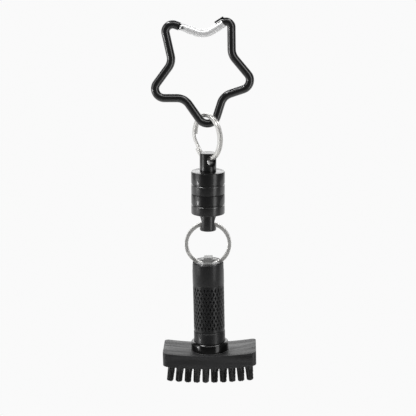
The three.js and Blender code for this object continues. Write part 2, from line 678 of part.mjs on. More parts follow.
function headOutline() {
  const half = HEAD_LENGTH / 2;
  const topArc = ARCH_RADIUS - HEAD_TOP;
  const bottomArc = ARCH_RADIUS - HEAD_BOTTOM;
  const topAngle = Math.asin(half / topArc);
  const footX = half - HEAD_FOOT_EDGE;
  const footAngle = Math.asin(footX / bottomArc);
  const footZ = ARCH_RADIUS - bottomArc * Math.cos(footAngle);
  const outline = new THREE.Shape();
  outline.absarc(0, ARCH_RADIUS, bottomArc, -Math.PI / 2 - footAngle, -Math.PI / 2 + footAngle, false);
  outline.absarc(footX, footZ + HEAD_FOOT_EDGE, HEAD_FOOT_EDGE, -Math.PI / 3, 0, false);
  outline.absarc(0, ARCH_RADIUS, topArc, -Math.PI / 2 + topAngle, -Math.PI / 2 - topAngle, true);
  outline.absarc(-footX, footZ + HEAD_FOOT_EDGE, HEAD_FOOT_EDGE, Math.PI, Math.PI * 4 / 3, false);
  return outline;
}

function headPlan() {
  const x = HEAD_LENGTH / 2 - HEAD_CORNER;
  const y = HEAD_DEPTH / 2 - HEAD_CORNER;
  const plan = new THREE.Shape();
  plan.absarc(x, y, HEAD_CORNER, 0, Math.PI / 2, false);
  plan.absarc(-x, y, HEAD_CORNER, Math.PI / 2, Math.PI, false);
  plan.absarc(-x, -y, HEAD_CORNER, Math.PI, Math.PI * 3 / 2, false);
  plan.absarc(x, -y, HEAD_CORNER, Math.PI * 3 / 2, Math.PI * 2, false);
  return plan;
}

function brushHead() {
  const arched = new THREE.ExtrudeGeometry(headOutline(), {
    depth: 2 * HEAD_DEPTH,
    bevelEnabled: false,
    curveSegments: 8,
  });
  arched.rotateX(Math.PI / 2).translate(0, HEAD_DEPTH, 0);
  const plan = new THREE.ExtrudeGeometry(headPlan(), {
    depth: 2 * HEAD_TOP,
    bevelEnabled: false,
    curveSegments: 4,
  });
  const pad = revolve([
    [0, HEAD_BOTTOM + 2],
    [HEAD_PAD_RADIUS, HEAD_BOTTOM + 2],
    [HEAD_PAD_RADIUS, HEAD_PAD_TOP],
    [HANDLE_BORE_RADIUS - RUNNING_GAP, HEAD_PAD_TOP],
    [HANDLE_BORE_RADIUS - RUNNING_GAP, HEAD_PAD_TOP + SPIGOT_HEIGHT],
    [0, HEAD_PAD_TOP + SPIGOT_HEIGHT],
  ], 32);
  let head = toSolid(arched).intersect(toSolid(plan)).add(toSolid(pad));
  const holeRadius = TUFT_ROOT_RADIUS + RUNNING_GAP;
  const holeHeight = HEAD_BOTTOM + TUFT_HOLE_DEPTH;
  forEachTuft((row, column) => {
    const hole = new THREE.CylinderGeometry(holeRadius, holeRadius, holeHeight, TUFT_SIDES);
    hole.rotateX(Math.PI / 2).translate(0, 0, holeHeight / 2);
    head = head.subtract(toSolid(ontoArch(hole, columnAngle(column), rowPlace(row))));
  });
  return toGeometry(head);
}

function forEachTuft(action) {
  for (let row = 0; row < TUFT_ROWS; row += 1) {
    for (let column = 0; column < TUFT_COLUMNS; column += 1) {
      action(row, column);
    }
  }
}

function tuft(row, column) {
  const neck = HEAD_BOTTOM - RUNNING_GAP;
  const rootTop = HEAD_BOTTOM + TUFT_HOLE_DEPTH - RUNNING_GAP;
  const profile = [
    [0, 0],
    [TUFT_TIP_RADIUS, 0],
    [TUFT_RADIUS, TUFT_TIP_EDGE],
    [TUFT_RADIUS, neck],
    [TUFT_ROOT_RADIUS, neck],
    [TUFT_ROOT_RADIUS, rootTop],
    [0, rootTop],
  ];
  return ontoArch(revolve(profile, TUFT_SIDES), columnAngle(column), rowPlace(row));
}

// ---------------------------------------------------------------- assembly

const brush = new THREE.Group();
brush.add(
  part('handle_tube', handleTube(), satinBlackAnodising()),
  part('handle_eye_plug', handleEyePlug(), bareSteel()),
  part('collar', collar(), glossBlackPlastic()),
  part('brush_head', brushHead(), mattBlackPlastic()),
);
forEachTuft((row, column) => {
  brush.add(part(`tuft_${row + 1}_${column + 1}`, tuft(row, column), blackNylon()));
});
brush.position.z = -lowerRingBottom;

// The handle hangs on the lower ring's bottom wire, a little off plumb
const hangingBrush = new THREE.Group();
hangingBrush.add(brush);
hangingBrush.rotation.set(0, degrees(HANDLE_TILT), degrees(HANDLE_YAW), 'YXZ');
hangingBrush.position.z = lowerRingBottom;

const grooveBrush = new THREE.Group();
grooveBrush.add(
  part('carabiner_frame', carabinerFrame(), glossBlackAnodising()),
  part('carabiner_gate', carabinerGate(), polishedAluminium()),
  part('gate_rivet', gateRivet(), bareSteel()),
  part('gate_plunger', gatePlunger(), bareSteel()),
  part('gate_spring', gateSpring(), springSteel()),
  part('upper_split_ring', splitRing(UPPER_RING_TURN - 90, 200, bottomBend.x, upperRingHeight), nickelPlate()),
  part('coupling_upper_body', couplingUpper(), satinBlackAnodising()),
  part('coupling_upper_magnet', magnet(1), nickelPlate()),
  part('coupling_lower_body', couplingLower(), satinBlackAnodising()),
  part('coupling_lower_magnet', magnet(-1), nickelPlate()),
  part('lower_split_ring', splitRing(0, 215, 0, lowerRingHeight), nickelPlate()),
  hangingBrush,
);
grooveBrush.position.z = -HANG_HEIGHT;

export default grooveBrush;
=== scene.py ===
"""Looks of a club groove brush that hangs from a star carabiner.

Sizes are in millimetres. Heights count up from the lowest bristle tips, as on a drawing of the
brush, and place() turns them into the row's frame, whose origin is inside the star under its gate.
"""

import math
import random

import bpy
from mathutils import Matrix, Vector


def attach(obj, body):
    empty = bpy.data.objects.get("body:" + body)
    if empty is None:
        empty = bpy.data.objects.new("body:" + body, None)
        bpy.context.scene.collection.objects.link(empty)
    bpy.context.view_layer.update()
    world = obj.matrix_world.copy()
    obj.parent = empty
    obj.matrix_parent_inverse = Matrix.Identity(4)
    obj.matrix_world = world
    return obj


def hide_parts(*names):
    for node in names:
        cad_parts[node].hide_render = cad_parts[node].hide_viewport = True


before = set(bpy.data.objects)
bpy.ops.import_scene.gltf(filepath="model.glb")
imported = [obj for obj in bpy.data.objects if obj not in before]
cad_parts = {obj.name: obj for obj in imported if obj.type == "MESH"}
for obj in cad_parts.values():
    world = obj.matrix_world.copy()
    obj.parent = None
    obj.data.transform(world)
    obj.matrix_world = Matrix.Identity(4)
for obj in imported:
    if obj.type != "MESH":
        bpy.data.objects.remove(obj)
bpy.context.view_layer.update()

MM = 0.001
HANG_HEIGHT = 149.0

# Star carabiner: the corners where its straight runs would meet, and the bend at each
ROD_RADIUS = 1.75
STAR_CORNERS = (
    ((-18.7, 156.6), 3.0),  # upper left point
    ((-14.9, 139.3), 6.0),
    ((-25.9, 124.3), 3.9),  # left point
    ((-9.85, 124.3), 6.0),
    ((1.15, 108.4), 4.1),  # bottom point
    ((6.4, 125.2), 6.0),
    ((20.3, 129.9), 4.0),  # right point
    ((9.85, 142.4), 6.5),
    ((9.6, 158.0), 2.3),  # upper right point, the nose
)
RIVET = (-10.6, 153.73)
GATE_RADIUS = 1.66
GATE_CORNER = (-1.2, 150.4)
GATE_BEND = 7.7
NOSE_REACH = 3.75
NOSE_GAP = 0.36
RIVET_RADIUS, RIVET_HOLE = 0.55, 0.63
TANG_RADIUS = 1.28
PLUNGER_RADIUS, SPRING_BORE = 0.5, 0.85

# Split rings
RING_MIDDLE = 9.25
WIRE_RADIAL = 1.6
COIL_THICKNESS = 0.9
COIL_STEP = 1.0
CROSSOVER = 40.0  # degrees over which the wire steps from one coil to the other
UPPER_RING = (-0.26, 107.79)
UPPER_RING_TURN = 35.0
LOWER_RING = (0.0, 61.1)

# Coupling
SEAM = 83.5
SEAM_GAP = 0.05  # from the seam to each half
COUPLING_RADIUS = 7.17
UPPER_BODY, UPPER_POST = 9.6, 7.9
LOWER_BODY, LOWER_POST = 8.7, 7.5
POST_RADIUS = 3.53
UPPER_GROOVE, LOWER_GROOVE = 4.15, 4.6  # from the seam
GROOVE_DEPTH = 0.3
RING_HOLE_RADIUS = 2.12
COUNTERSINK_RADIUS, COUNTERSINK_MIDDLE = 2.85, 3.2
UPPER_HOLE_FROM_END, LOWER_HOLE_FROM_END = 3.05, 3.7
POCKET_RADIUS, POCKET_DEPTH = 5.15, 3.4
MAGNET_RADIUS, MAGNET_THICKNESS, MAGNET_DEPTH = 4.85, 2.8, 0.35

# Handle
HANDLE_RADIUS = 6.8
HANDLE_TOP = 53.5
HANDLE_BOTTOM = 13.9
HANDLE_BORE = 4.6
KNURL_BOTTOM = 22.9
KNURL_TOP = 43.5
KNURL_AROUND, KNURL_ROWS = 26, 6
KNURL_RIDGE, KNURL_DEPTH = 0.24, 0.62
KNURL_WALL = 0.87  # the sleeve's inner radius over its outer
HANDLE_TILT = -1.2
HANDLE_YAW = -1.5
PLUG_BORE, PLUG_RADIUS, PLUG_LENGTH = 5.6, 5.3, 7.0
EYE_WIDTH, EYE_DEPTH, EYE_RISE = 4.0, 4.6, 1.9
RING_SLOT_WIDTH, RING_SLOT_FLARED = 2.7, 5.0
RING_REST = 51.95  # height of the lower ring's bottom wire
COLLAR_BOTTOM, COLLAR_TOP = 13.75, 17.6
COLLAR_BORE, COLLAR_RADIUS = 6.95, 8.1

# Head
HEAD_LENGTH, HEAD_DEPTH, HEAD_CORNER = 40.45, 18.78, 2.0
HEAD_THICKNESS = 5.9
BRISTLE_LENGTH = 7.4
PAD_RADIUS, PAD_TOP = 8.3, 13.65
PEG_RADIUS, PEG_LENGTH = 4.3, 8.0  # inside the handle's bore
ARCH_CENTRE = 146.0

# Bristles
COLUMNS = 10
ROWS = 4
COLUMN_PITCH = 3.9
ROW_PITCH = 4.1
TUFT_RADIUS = 1.6
TUFT_ROOT = 7.25
BUNDLE_RADIUS, BUNDLE_BOTTOM, BUNDLE_LENGTH = 1.45, 5.4, 1.9
FILAMENTS = 54
FILAMENT_RADIUS = 0.17
TUFT_PATTERNS = 5
GOLDEN_ANGLE = math.radians(137.508)


def place(x, y, z):
    """A point of the drawing, in metres in the row's frame."""
    return Vector((x, y, z - HANG_HEIGHT)) * MM


# ------------------------------------------------------------------ modelling


def alone(piece):
    bpy.ops.object.select_all(action="DESELECT")
    piece.select_set(True)
    bpy.context.view_layer.objects.active = piece


def start(name):
    """Names the primitive just added and opens it for editing with everything selected."""
    piece = bpy.context.object
    piece.name = name
    piece.data.name = name
    bpy.ops.object.mode_set(mode="EDIT")
    bpy.ops.mesh.select_all(action="SELECT")
    return piece


def close_up(piece):
    """Fills open ends, turns faces outwards and leaves edit mode, with the piece's place in its mesh."""
    bpy.ops.mesh.select_all(action="SELECT")
    bpy.ops.mesh.remove_doubles(threshold=0.002 * MM)
    bpy.ops.mesh.fill_holes(sides=0)
    bpy.ops.mesh.select_all(action="SELECT")
    bpy.ops.mesh.normals_make_consistent(inside=False)
    bpy.ops.object.mode_set(mode="OBJECT")
    alone(piece)
    bpy.ops.object.transform_apply(location=True, rotation=True, scale=True)
    return piece


def pull(move):
    bpy.ops.mesh.extrude_region_move(TRANSFORM_OT_translate={"value": move})


def bevel(piece, width, segments=2, angle=30):
    alone(piece)
    mod = piece.modifiers.new("edges", "BEVEL")
    mod.width = width * MM
    mod.segments = segments
    mod.limit_method = "ANGLE"
    mod.angle_limit = math.radians(angle)
    bpy.ops.object.modifier_apply(modifier=mod.name)
    return piece


def combine(piece, tool, operation):
    """Cuts the tool from the piece, or joins it on, and throws the tool away."""
    alone(piece)
    mod = piece.modifiers.new("tool", "BOOLEAN")
    mod.object = tool
    mod.operation = operation
    mod.solver = "MANIFOLD"
    bpy.ops.object.modifier_apply(modifier=mod.name)
    alone(tool)
    bpy.ops.object.delete()
    return piece


def cut(piece, tool):
    return combine(piece, tool, "DIFFERENCE")


def weld(piece, tool):
    return combine(piece, tool, "UNION")


def smooth(piece, angle=35):
    alone(piece)
    bpy.ops.object.shade_smooth_by_angle(angle=math.radians(angle))
    return piece


def turned(name, profile, sides=96, closed=False):
    """Lathe work on the Z axis: a circle pulled to each (radius, height) of the profile in turn."""
    radius, height = profile[0]
    bpy.ops.object.select_all(action="DESELECT")
    bpy.ops.mesh.primitive_circle_add(
        vertices=sides, radius=radius * MM, fill_type="NOTHING", location=place(0, 0, height)
    )
    piece = start(name)
    stops = list(profile[1:]) + ([profile[0]] if closed else [])
    for next_radius, next_height in stops:
        pull((0, 0, (next_height - height) * MM))
        ratio = next_radius / radius
        bpy.ops.transform.resize(value=(ratio, ratio, 1), center_override=place(0, 0, next_height))
        radius, height = next_radius, next_height
    return close_up(piece)


def rod(name, radius, length, centre, direction, sides=48, end_radius=None):
    """A round bar, or a cone, lying along a direction through a centre, for holes and pins."""
    bpy.ops.object.select_all(action="DESELECT")
    bpy.ops.mesh.primitive_cone_add(
        vertices=sides,
        radius1=radius * MM,
        radius2=(radius if end_radius is None else end_radius) * MM,
        depth=length * MM,
        location=centre,
        rotation=Vector(direction).to_track_quat("Z", "Y").to_euler(),
    )
    return close_up(start(name))


def block(name, size, centre, turn=0.0):
    """A block turned about Y through its centre, in radians."""
    bpy.ops.object.select_all(action="DESELECT")
    bpy.ops.mesh.primitive_cube_add(size=1, location=centre, rotation=(0, turn, 0))
    piece = bpy.context.object
    piece.scale = Vector(size) * MM
    return close_up(start(name))


def bent_rod(name, radius, first, corners, last, sides=32):
    """A round rod in the XZ plane: straight runs are pulled, bends are spun about their centres."""
    here = Vector(first)
    heading = (Vector(corners[0][0]) - here).normalized()
    bpy.ops.object.select_all(action="DESELECT")
    bpy.ops.mesh.primitive_circle_add(
        vertices=sides,
        radius=radius * MM,
        fill_type="NOTHING",
        location=place(here.x, 0, here.y),
        rotation=(0, math.atan2(heading.x, heading.y), 0),
    )
    piece = start(name)
    # the ring of edges is moved in the world's axes from here on
    stops = [Vector(corner) for corner, _ in corners] + [Vector(last)]
    for index, (corner, bend) in enumerate(corners):
        corner = Vector(corner)
        into = (corner - here).normalized()
        out = (stops[index + 1] - corner).normalized()
        turn = math.atan2(into.x * out.y - into.y * out.x, into.dot(out))
        reach = bend * math.tan(abs(turn) / 2)
        arc_start = corner - into * reach
        run = arc_start - here
        pull((run.x * MM, 0, run.y * MM))
        side = math.copysign(1, turn)
        centre = arc_start + Vector((-into.y, into.x)) * side * bend
        steps = max(6, round(math.degrees(abs(turn)) / 5))
        bpy.ops.mesh.spin(
            steps=steps,
            angle=abs(turn),
            center=place(centre.x, 0, centre.y),
            axis=(0, side, 0),
        )
        here = corner + out * reach
    run = stops[-1] - here
    pull((run.x * MM, 0, run.y * MM))
    return close_up(piece)


# ------------------------------------------------------------------ star carabiner

upper_left = Vector(STAR_CORNERS[0][0])
nose_corner = Vector(STAR_CORNERS[-1][0])
gate_corner = Vector(GATE_CORNER)
gate_line = (gate_corner - upper_left).normalized()
gate_turn = -math.atan2(gate_line.y, gate_line.x)
nose_line = (nose_corner - Vector((0, 0.6)) - gate_corner).normalized()
nose_turn = -math.atan2(nose_line.y, nose_line.x)
nose_end = nose_corner - nose_line * NOSE_REACH
rivet = Vector(RIVET)


def from_rivet(along, rise=0.0):
    spot = rivet + gate_line * along + Vector((-gate_line.y, gate_line.x)) * rise
    return place(spot.x, 0, spot.y)


def from_nose(along, rise):
    spot = nose_end + nose_line * along + Vector((-nose_line.y, nose_line.x)) * rise
    return place(spot.x, 0, spot.y)


star = bent_rod("star_rod", ROD_RADIUS, rivet, STAR_CORNERS, nose_end)
cut(star, rod("shoulder", 2.0, 10, from_rivet(0), (0, 1, 0)))
cut(star, block("beyond", (6, 10, 10), from_rivet(3), gate_turn))
tang = rod("tang", TANG_RADIUS, TANG_RADIUS, from_rivet(0), (0, 1, 0), sides=40)
weld(tang, block("tang_bar", (3, TANG_RADIUS, 2 * TANG_RADIUS), from_rivet(-1.5), gate_turn))
cut(tang, block("tang_flat", (2, 4, 6), from_rivet(2.0), gate_turn))
weld(star, tang)
cut(star, rod("rivet_hole", RIVET_HOLE, 6, from_rivet(0), (0, 1, 0), sides=32))
gate_drop = (nose_end - gate_corner).x * nose_line.y - (nose_end - gate_corner).y * nose_line.x
lip = block("lip", (4.2, 2.2, 0.68), from_nose(-1.1, GATE_RADIUS + 0.68 + gate_drop), nose_turn)
weld(star, lip)
smooth(star)

gate_reach = (nose_end - gate_corner).dot(nose_line) - NOSE_GAP
gate_end = gate_corner + nose_line * gate_reach
gate = bent_rod("gate_rod", GATE_RADIUS, rivet, ((GATE_CORNER, GATE_BEND),), gate_end)
bpy.ops.object.select_all(action="DESELECT")
bpy.ops.mesh.primitive_uv_sphere_add(
    segments=32, ring_count=16, radius=GATE_RADIUS * MM, location=from_rivet(0)
)
weld(gate, close_up(start("gate_round")))
cut(gate, block("slot", (5.1, 1.9, 8), from_rivet(-0.45), gate_turn))
cut(gate, rod("rivet_hole", RIVET_HOLE, 6, from_rivet(0), (0, 1, 0), sides=32))
cut(gate, rod("spring_bore", SPRING_BORE, 6.1, from_rivet(3.05), (gate_line.x, 0, gate_line.y), sides=32))
smooth(gate)

rivet_pin = rod("rivet_pin", RIVET_RADIUS, 3.9, from_rivet(0), (0, 1, 0), sides=32)
bevel(rivet_pin, 0.15, 3)
smooth(rivet_pin)
plunger = rod("plunger_pin", PLUNGER_RADIUS, 1.7, from_rivet(2.2), (gate_line.x, 0, gate_line.y), sides=32)
bevel(plunger, 0.08, 2)
smooth(plunger)

# ------------------------------------------------------------------ split rings


def split_ring(name, centre, turn, first_angle):
    """Two coils of half-flat wire side by side: spun round once, stepped across and spun again."""
    x, z = centre
    middle = place(x, 0, z)
    bpy.ops.object.select_all(action="DESELECT")
    bpy.ops.mesh.primitive_plane_add(size=1, location=place(x + RING_MIDDLE, 0, z))
    ring = start(name)
    bpy.ops.transform.resize(value=(WIRE_RADIAL * MM, COIL_THICKNESS * MM, 1))
    bpy.ops.mesh.bevel(offset=0.25 * MM, segments=4, affect="VERTICES", offset_type="OFFSET")
    bpy.ops.mesh.select_all(action="SELECT")
    bpy.ops.mesh.delete(type="ONLY_FACE")
    bpy.ops.mesh.select_all(action="SELECT")
    bpy.ops.transform.translate(value=(0, -COIL_STEP / 2 * MM, 0))
    around = dict(center=middle, axis=(0, 1, 0))
    coil = math.radians(360 - CROSSOVER)
    bpy.ops.mesh.spin(steps=96, angle=coil, **around)
    crossing = 10
    for step in range(crossing):
        # the step across is slow at both ends
        before, after = (0.5 - 0.5 * math.cos(math.pi * (step + k) / crossing) for k in (0, 1))
        bpy.ops.mesh.spin(steps=1, angle=math.radians(CROSSOVER / crossing), **around)
        bpy.ops.transform.translate(value=(0, (after - before) * COIL_STEP * MM, 0))
    bpy.ops.mesh.spin(steps=96, angle=coil, **around)
    close_up(ring)
    ring.matrix_world = (
        Matrix.Translation(middle)
        @ Matrix.Rotation(math.radians(turn), 4, "Z")
        @ Matrix.Rotation(-math.radians(first_angle), 4, "Y")
        @ Matrix.Translation(-middle)
    )
    alone(ring)
    bpy.ops.object.transform_apply(location=True, rotation=True, scale=True)
    return smooth(ring)


upper_ring = split_ring("upper_ring_wire", UPPER_RING, UPPER_RING_TURN - 90, 200 + CROSSOVER / 2)
lower_ring = split_ring("lower_ring_wire", LOWER_RING, 0, 215 + CROSSOVER / 2)

# ------------------------------------------------------------------ coupling


def coupling_half(name, side, body, post, groove, hole_from_end, hole_turn):
    """One half, its post pointing up (side 1) or down (side -1) from the seam."""
    seam = SEAM + side * SEAM_GAP
    r = COUPLING_RADIUS
    shape = (
        (r - 0.2, 0),
        (r - 0.05, 0.06),
        (r, 0.22),
        (r, groove - 0.42),
        (r - GROOVE_DEPTH, groove - 0.14),
        (r - GROOVE_DEPTH, groove + 0.14),
        (r, groove + 0.42),
        (r, body - 0.35),
        (r - 0.1, body - 0.1),
        (r - 0.35, body),
        (POST_RADIUS, body),
        (POST_RADIUS, body + post - 0.4),
        (POST_RADIUS - 0.12, body + post - 0.12),
        (POST_RADIUS - 0.4, body + post),
    )
    half = turned(name, [(radius, seam + side * height) for radius, height in shape], sides=120)
    cut(half, rod("pocket", POCKET_RADIUS, 2 * POCKET_DEPTH, place(0, 0, seam), (0, 0, 1), sides=96))
    heading = Vector((math.sin(hole_turn), -math.cos(hole_turn), 0))
    centre = place(0, 0, seam + side * (body + post - hole_from_end))
    cut(half, rod("cross_hole", RING_HOLE_RADIUS, 12, centre, heading, sides=64))
    for end in (-1, 1):
        mouth = centre + heading * end * COUNTERSINK_MIDDLE * MM
        cone = rod("countersink", 2.1, 1.2, mouth, heading * end, sides=64, end_radius=COUNTERSINK_RADIUS)
        cut(half, cone)
    return smooth(half)


upper_half = coupling_half(
    "coupling_upper_half",
    1,
    body=UPPER_BODY,
    post=UPPER_POST,
    groove=UPPER_GROOVE,
    hole_from_end=UPPER_HOLE_FROM_END,
    hole_turn=math.radians(33),
)
lower_half = coupling_half(
    "coupling_lower_half",
    -1,
    body=LOWER_BODY,
    post=LOWER_POST,
    groove=LOWER_GROOVE,
    hole_from_end=LOWER_HOLE_FROM_END,
    hole_turn=math.radians(90),
)


def magnet_disc(name, bottom):
    """A disc with a small chamfer round both faces."""
    r, top = MAGNET_RADIUS, bottom + MAGNET_THICKNESS
    return smooth(turned(name, ((r - 0.1, bottom), (r, bottom + 0.1), (r, top - 0.1), (r - 0.1, top))))


upper_magnet = magnet_disc("upper_magnet_disc", SEAM + MAGNET_DEPTH)
lower_magnet = magnet_disc("lower_magnet_disc", SEAM - MAGNET_DEPTH - MAGNET_THICKNESS)

# ------------------------------------------------------------------ handle


def hang(piece):
    """Turns an upright piece of the brush as the handle hangs on the lower ring, a little off plumb."""
    pivot = place(0, 0, RING_REST)
    piece.matrix_world = (
        Matrix.Translation(pivot)
        @ Matrix.Rotation(math.radians(HANDLE_TILT), 4, "Y")
        @ Matrix.Rotation(math.radians(HANDLE_YAW), 4, "Z")
        @ Matrix.Translation(-pivot)
        @ piece.matrix_world
    )
    alone(piece)
    bpy.ops.object.transform_apply(location=True, rotation=True, scale=True)
    return piece


def flare(name, side):
    """The slot's flared upper edges, either side of the eye: a wedge, wide end up."""
    bpy.ops.object.select_all(action="DESELECT")
    bpy.ops.mesh.primitive_cube_add(size=1, location=place(side * (EYE_WIDTH / 2 + 6), 0, HANDLE_TOP - 0.3))
    wedge = bpy.context.object
    wedge.scale = Vector((12, RING_SLOT_FLARED, 2.4)) * MM
    start(name)
    bpy.ops.mesh.select_all(action="DESELECT")
    bpy.ops.object.mode_set(mode="OBJECT")
    for vertex in wedge.data.vertices:
        vertex.select = vertex.co.z < 0
    bpy.ops.object.mode_set(mode="EDIT")
    bpy.ops.transform.resize(value=(1, RING_SLOT_WIDTH / RING_SLOT_FLARED, 1))
    return close_up(wedge)


def ring_slot():
    """The slot that the lower ring runs through, under the eye and out through both sides of the tube."""
    floor, roof = HANDLE_TOP - 3.9, HANDLE_TOP + 0.05
    return block("ring_slot", (28, RING_SLOT_WIDTH, roof - floor), place(0, 0, (roof + floor) / 2))


r = HANDLE_RADIUS
tube = turned(
    "handle_body",
    (
        (r, HANDLE_BOTTOM),
        (r, KNURL_BOTTOM - 0.95),
        (r - 0.08, KNURL_BOTTOM - 0.82),
        (r - 0.45, KNURL_BOTTOM - 0.5),
        (r - 0.45, KNURL_BOTTOM),
        (r - 0.8, KNURL_BOTTOM + 0.1),
        (r - 0.8, KNURL_TOP - 0.1),
        (r - 0.1, KNURL_TOP + 0.02),
        (r, KNURL_TOP + 0.2),
        (r, HANDLE_TOP - 0.55),
        (r - 0.55, HANDLE_TOP),
        (PLUG_BORE, HANDLE_TOP),
        (PLUG_BORE, HANDLE_TOP - PLUG_LENGTH - 0.3),
        (HANDLE_BORE, HANDLE_TOP - PLUG_LENGTH - 0.3),
        (HANDLE_BORE, HANDLE_BOTTOM),
    ),
    sides=120,
    closed=True,
)
cut(tube, ring_slot())
cut(tube, flare("flare", 1))
cut(tube, flare("flare", -1))
smooth(tube)


def knurled_sleeve():
    """A diamond net of ridges round the tube, pressed in between them."""
    height = (KNURL_TOP - KNURL_BOTTOM) / KNURL_ROWS
    crest = HANDLE_RADIUS - 0.06
    bpy.ops.object.select_all(action="DESELECT")
    bpy.ops.mesh.primitive_circle_add(
        vertices=KNURL_AROUND, radius=crest * MM, fill_type="NOTHING", location=place(0, 0, KNURL_BOTTOM)
    )
    sleeve = start("knurl")
    for _ in range(KNURL_ROWS):
        pull((0, 0, height * MM))
    bpy.ops.mesh.select_all(action="SELECT")
    bpy.ops.mesh.normals_make_consistent(inside=False)
    bpy.ops.object.mode_set(mode="OBJECT")
    corners = len(sleeve.data.vertices)
    bpy.ops.object.mode_set(mode="EDIT")
    bpy.ops.mesh.select_all(action="SELECT")
    bulge = crest * (1 - math.cos(math.pi / KNURL_AROUND))
    bpy.ops.mesh.poke(offset=bulge * MM)
    # the square net's own lines go, which leaves a net of diamonds
    bpy.ops.mesh.select_all(action="DESELECT")
    bpy.ops.mesh.select_mode(type="EDGE")
    bpy.ops.object.mode_set(mode="OBJECT")
    mesh = sleeve.data
    low = min(v.co.z for v in mesh.vertices)
    high = max(v.co.z for v in mesh.vertices)
    for edge in mesh.edges:
        ends = [mesh.vertices[i].co.z for i in edge.vertices]
        on_rim = all(z < low + 0.1 * MM for z in ends) or all(z > high - 0.1 * MM for z in ends)
        edge.select = max(edge.vertices) < corners and not on_rim
    bpy.ops.object.mode_set(mode="EDIT")
    bpy.ops.mesh.dissolve_edges(use_verts=False)
    bpy.ops.mesh.select_mode(type="FACE")
    bpy.ops.mesh.select_all(action="DESELECT")
    bpy.ops.mesh.select_face_by_sides(number=4)
    bpy.ops.mesh.inset(thickness=KNURL_RIDGE * MM, use_individual=True, use_boundary=True)
    bpy.ops.mesh.poke(offset=-KNURL_DEPTH * MM)
    # a wall behind it makes it a closed sleeve
    bpy.ops.mesh.select_all(action="DESELECT")
    bpy.ops.mesh.select_mode(type="EDGE")
    bpy.ops.mesh.select_non_manifold()
    bpy.ops.object.mode_set(mode="OBJECT")
    middle = (low + high) / 2
    upper = [e.index for e in mesh.edges if e.select and mesh.vertices[e.vertices[0]].co.z > middle]
    for edge in mesh.edges:
        edge.select = edge.index in upper
    bpy.ops.object.mode_set(mode="EDIT")
    pull((0, 0, 0))
    bpy.ops.transform.resize(value=(KNURL_WALL, KNURL_WALL, 1), center_override=place(0, 0, KNURL_TOP))
    pull((0, 0, (KNURL_BOTTOM - KNURL_TOP) * MM))
    bpy.ops.mesh.select_all(action="DESELECT")
    bpy.ops.mesh.select_non_manifold()
    bpy.ops.mesh.bridge_edge_loops()
    bpy.ops.mesh.select_mode(type="VERT")
    return close_up(sleeve)


sleeve = knurled_sleeve()
smooth(sleeve, 20)
alone(tube)
sleeve.select_set(True)
bpy.ops.object.join()
hang(tube)

plug = turned("eye_plug_body", ((PLUG_RADIUS, HANDLE_TOP - PLUG_LENGTH), (PLUG_RADIUS, HANDLE_TOP)))
cut(plug, flare("flare", 1))
cut(plug, flare("flare", -1))
eye = block("eye", (EYE_WIDTH, EYE_DEPTH, EYE_RISE + 1), place(0, 0, HANDLE_TOP + (EYE_RISE - 1) / 2))
off_corner = place(-EYE_WIDTH / 2 - 0.4, 0, HANDLE_TOP + EYE_RISE + 0.35)
cut(eye, block("eye_corner", (2, 6, 2), off_corner, math.radians(27)))
bevel(eye, 0.3, 3)
weld(plug, eye)
cut(plug, ring_slot())
smooth(plug)
hang(plug)

collar = turned(
    "collar_ring",
    (
        (COLLAR_BORE, COLLAR_BOTTOM),
        (COLLAR_RADIUS, COLLAR_BOTTOM),
        (COLLAR_RADIUS, COLLAR_TOP - 0.8),
        (COLLAR_RADIUS - 0.1, COLLAR_TOP - 0.55),
        (COLLAR_BORE + 0.5, COLLAR_TOP - 0.08),
        (COLLAR_BORE + 0.3, COLLAR_TOP),
        (COLLAR_BORE, COLLAR_TOP),
    ),
    sides=120,
    closed=True,
)
smooth(collar)
hang(collar)

# ------------------------------------------------------------------ brush head


def arched_head():
    """A block spun on a large arc about Y, trimmed upright at its ends and rounded."""
    centre = place(0, 0, ARCH_CENTRE)
    half_angle = math.radians(9.6)
    top, bottom = ARCH_CENTRE - BRISTLE_LENGTH - HEAD_THICKNESS, ARCH_CENTRE - BRISTLE_LENGTH
    bpy.ops.object.select_all(action="DESELECT")
    bpy.ops.mesh.primitive_plane_add(
        size=1, location=place(0, 0, ARCH_CENTRE - (top + bottom) / 2), rotation=(0, math.pi / 2, 0)
    )
    head = start("head_block")
    bpy.ops.transform.resize(value=(1, 18.8 * MM, (bottom - top) * MM))
    bpy.ops.mesh.delete(type="ONLY_FACE")
    bpy.ops.mesh.select_all(action="SELECT")
    bpy.ops.transform.rotate(value=half_angle, orient_axis="Y", center_override=centre)
    bpy.ops.object.mode_set(mode="OBJECT")
    began_left = sum((head.matrix_world @ v.co).x for v in head.data.vertices) < 0
    bpy.ops.object.mode_set(mode="EDIT")
    bpy.ops.mesh.select_all(action="SELECT")
    side = 1 if began_left else -1
    bpy.ops.mesh.spin(steps=40, angle=2 * half_angle, center=centre, axis=(0, side, 0))
    close_up(head)
    bpy.ops.object.select_all(action="DESELECT")
    # the head's outline from above, as a block far taller than the arch
    bpy.ops.mesh.primitive_cube_add(size=1, location=place(0, 0, 12))
    plan = bpy.context.object
    plan.scale = Vector((HEAD_LENGTH, HEAD_DEPTH, 30)) * MM
    close_up(start("plan"))
    alone(plan)
    bpy.ops.object.mode_set(mode="EDIT")
    bpy.ops.mesh.select_mode(type="EDGE")
    bpy.ops.mesh.select_all(action="DESELECT")
    bpy.ops.object.mode_set(mode="OBJECT")
    points = plan.data.vertices
    for edge in plan.data.edges:
        a, b = (points[i].co for i in edge.vertices)
        edge.select = abs(a.z - b.z) > 20 * MM
    bpy.ops.object.mode_set(mode="EDIT")
    bpy.ops.mesh.bevel(offset=HEAD_CORNER * MM, segments=8, offset_type="OFFSET")
    bpy.ops.mesh.select_mode(type="VERT")
    bpy.ops.object.mode_set(mode="OBJECT")
    combine(head, plan, "INTERSECT")
    return head


